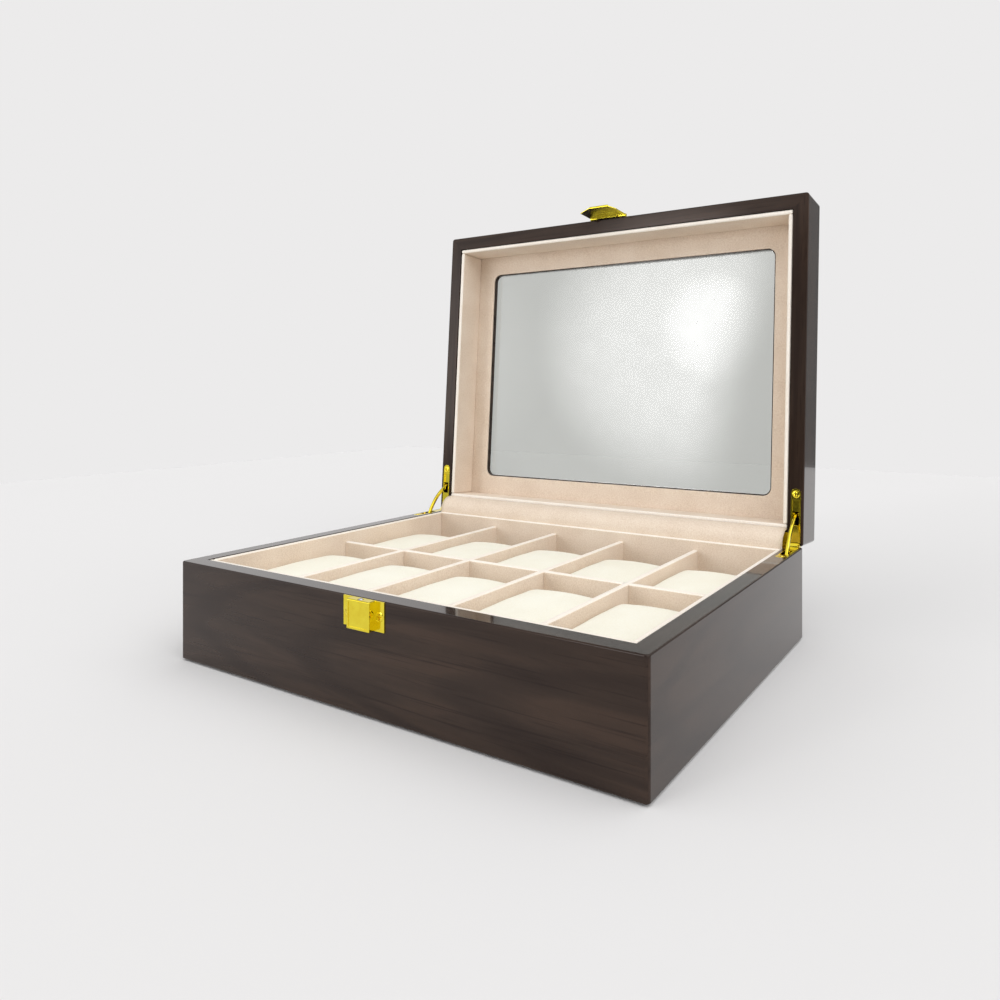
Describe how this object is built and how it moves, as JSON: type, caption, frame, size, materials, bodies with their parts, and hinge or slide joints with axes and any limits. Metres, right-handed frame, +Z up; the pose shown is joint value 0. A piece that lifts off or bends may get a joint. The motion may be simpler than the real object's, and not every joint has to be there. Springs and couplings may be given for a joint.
{
  "type": "watch box",
  "caption": "Lacquered wooden watch box with velvet-lined cells and pillows, and a hinged lid with a glass window, brass stays and a hasp, standing open.",
  "frame": {"origin": "centre of the felt underside, on the surface the box stands on", "axes": "+X to the right along the longer side, +Y to the rear hinge side, +Z up"},
  "size_m": [0.3, 0.2818, 0.295],
  "materials": {
    "lacquered_wood": "dark brown veneer under high-gloss lacquer",
    "lining_velvet": "short-pile beige velvet over board",
    "pillow_velvet": "cream velvet over soft foam",
    "polished_brass": "polished, yellow gold",
    "bright_steel": "polished ball",
    "clear_glass": "clear flat pane",
    "felt": "black felt"
  },
  "bodies": {
    "base": {"base_front_wall": "lacquered_wood", "base_left_wall": "lacquered_wood", "base_rear_wall": "lacquered_wood", "base_right_wall": "lacquered_wood", "bottom_felt": "felt", "bottom_panel": "lacquered_wood", "catch_ball": "bright_steel", "catch_box": "polished_brass", "catch_plate": "polished_brass", "catch_screws": "polished_brass", "cross_divider_1": "lining_velvet", "cross_divider_2": "lining_velvet", "cross_divider_3": "lining_velvet", "cross_divider_4": "lining_velvet", "floor_board": "lining_velvet", "hinge_base_leaf_left": "polished_brass", "hinge_base_leaf_right": "polished_brass", "hinge_base_screws": "polished_brass", "hinge_gusset": "lining_velvet", "hinge_pin_left": "polished_brass", "hinge_pin_right": "polished_brass", "liner_front": "lining_velvet", "liner_left": "lining_velvet", "liner_rear": "lining_velvet", "liner_right": "lining_velvet", "long_divider": "lining_velvet"},
    "lid": {"hasp_pin": "polished_brass", "hasp_plate": "polished_brass", "hasp_screws": "polished_brass", "hinge_lid_leaf_left": "polished_brass", "hinge_lid_leaf_right": "polished_brass", "hinge_lid_screws": "polished_brass", "lid_front_wall": "lacquered_wood", "lid_left_wall": "lacquered_wood", "lid_liner_front": "lining_velvet", "lid_liner_left": "lining_velvet", "lid_liner_rear": "lining_velvet", "lid_liner_right": "lining_velvet", "lid_rear_wall": "lacquered_wood", "lid_right_wall": "lacquered_wood", "lid_top_frame": "lacquered_wood", "window_glass": "clear_glass", "window_velvet_frame": "lining_velvet"},
    "hasp": {"hasp_flap": "polished_brass"},
    "left_stay": {"stay_arm_left": "polished_brass"},
    "right_stay": {"stay_arm_right": "polished_brass"},
    "front_pillow_1": {"pillow_front_1": "pillow_velvet"},
    "front_pillow_2": {"pillow_front_2": "pillow_velvet"},
    "front_pillow_3": {"pillow_front_3": "pillow_velvet"},
    "front_pillow_4": {"pillow_front_4": "pillow_velvet"},
    "front_pillow_5": {"pillow_front_5": "pillow_velvet"},
    "rear_pillow_1": {"pillow_rear_1": "pillow_velvet"},
    "rear_pillow_2": {"pillow_rear_2": "pillow_velvet"},
    "rear_pillow_3": {"pillow_rear_3": "pillow_velvet"},
    "rear_pillow_4": {"pillow_rear_4": "pillow_velvet"},
    "rear_pillow_5": {"pillow_rear_5": "pillow_velvet"}
  },
  "joints": [
    {"name": "lid_hinge", "type": "hinge", "parent": "base", "child": "lid", "pos_m": [0, 0.115, 0.0583], "axis": [-1, 0, 0], "range_deg": [-94, 0], "deforming": ["hinge_gusset"]},
    {"name": "hasp_hinge", "type": "hinge", "parent": "lid", "child": "hasp", "pos_m": [0, 0.13446, 0.28925], "axis": [-1, 0, 0], "range_deg": [0, 100]},
    {"name": "left_stay_slide", "type": "hinge", "parent": "base", "child": "left_stay", "pos_m": [0, 0.115, 0.0583], "axis": [-1, 0, 0], "range_deg": [-47, 0]},
    {"name": "right_stay_slide", "type": "hinge", "parent": "base", "child": "right_stay", "pos_m": [0, 0.115, 0.0583], "axis": [-1, 0, 0], "range_deg": [-47, 0]},
    {"name": "front_pillow_1_lift", "type": "slide", "parent": "base", "child": "front_pillow_1", "axis": [0, 0, 1], "range_m": [0, 0.06]},
    {"name": "front_pillow_2_lift", "type": "slide", "parent": "base", "child": "front_pillow_2", "axis": [0, 0, 1], "range_m": [0, 0.06]},
    {"name": "front_pillow_3_lift", "type": "slide", "parent": "base", "child": "front_pillow_3", "axis": [0, 0, 1], "range_m": [0, 0.06]},
    {"name": "front_pillow_4_lift", "type": "slide", "parent": "base", "child": "front_pillow_4", "axis": [0, 0, 1], "range_m": [0, 0.06]},
    {"name": "front_pillow_5_lift", "type": "slide", "parent": "base", "child": "front_pillow_5", "axis": [0, 0, 1], "range_m": [0, 0.06]},
    {"name": "rear_pillow_1_lift", "type": "slide", "parent": "base", "child": "rear_pillow_1", "axis": [0, 0, 1], "range_m": [0, 0.06]},
    {"name": "rear_pillow_2_lift", "type": "slide", "parent": "base", "child": "rear_pillow_2", "axis": [0, 0, 1], "range_m": [0, 0.06]},
    {"name": "rear_pillow_3_lift", "type": "slide", "parent": "base", "child": "rear_pillow_3", "axis": [0, 0, 1], "range_m": [0, 0.06]},
    {"name": "rear_pillow_4_lift", "type": "slide", "parent": "base", "child": "rear_pillow_4", "axis": [0, 0, 1], "range_m": [0, 0.06]},
    {"name": "rear_pillow_5_lift", "type": "slide", "parent": "base", "child": "rear_pillow_5", "axis": [0, 0, 1], "range_m": [0, 0.06]}
  ],
  "couplings": [
    {"joint": "left_stay_slide", "follows": "lid_hinge", "ratio": 0.5},
    {"joint": "right_stay_slide", "follows": "lid_hinge", "ratio": 0.5}
  ]
}
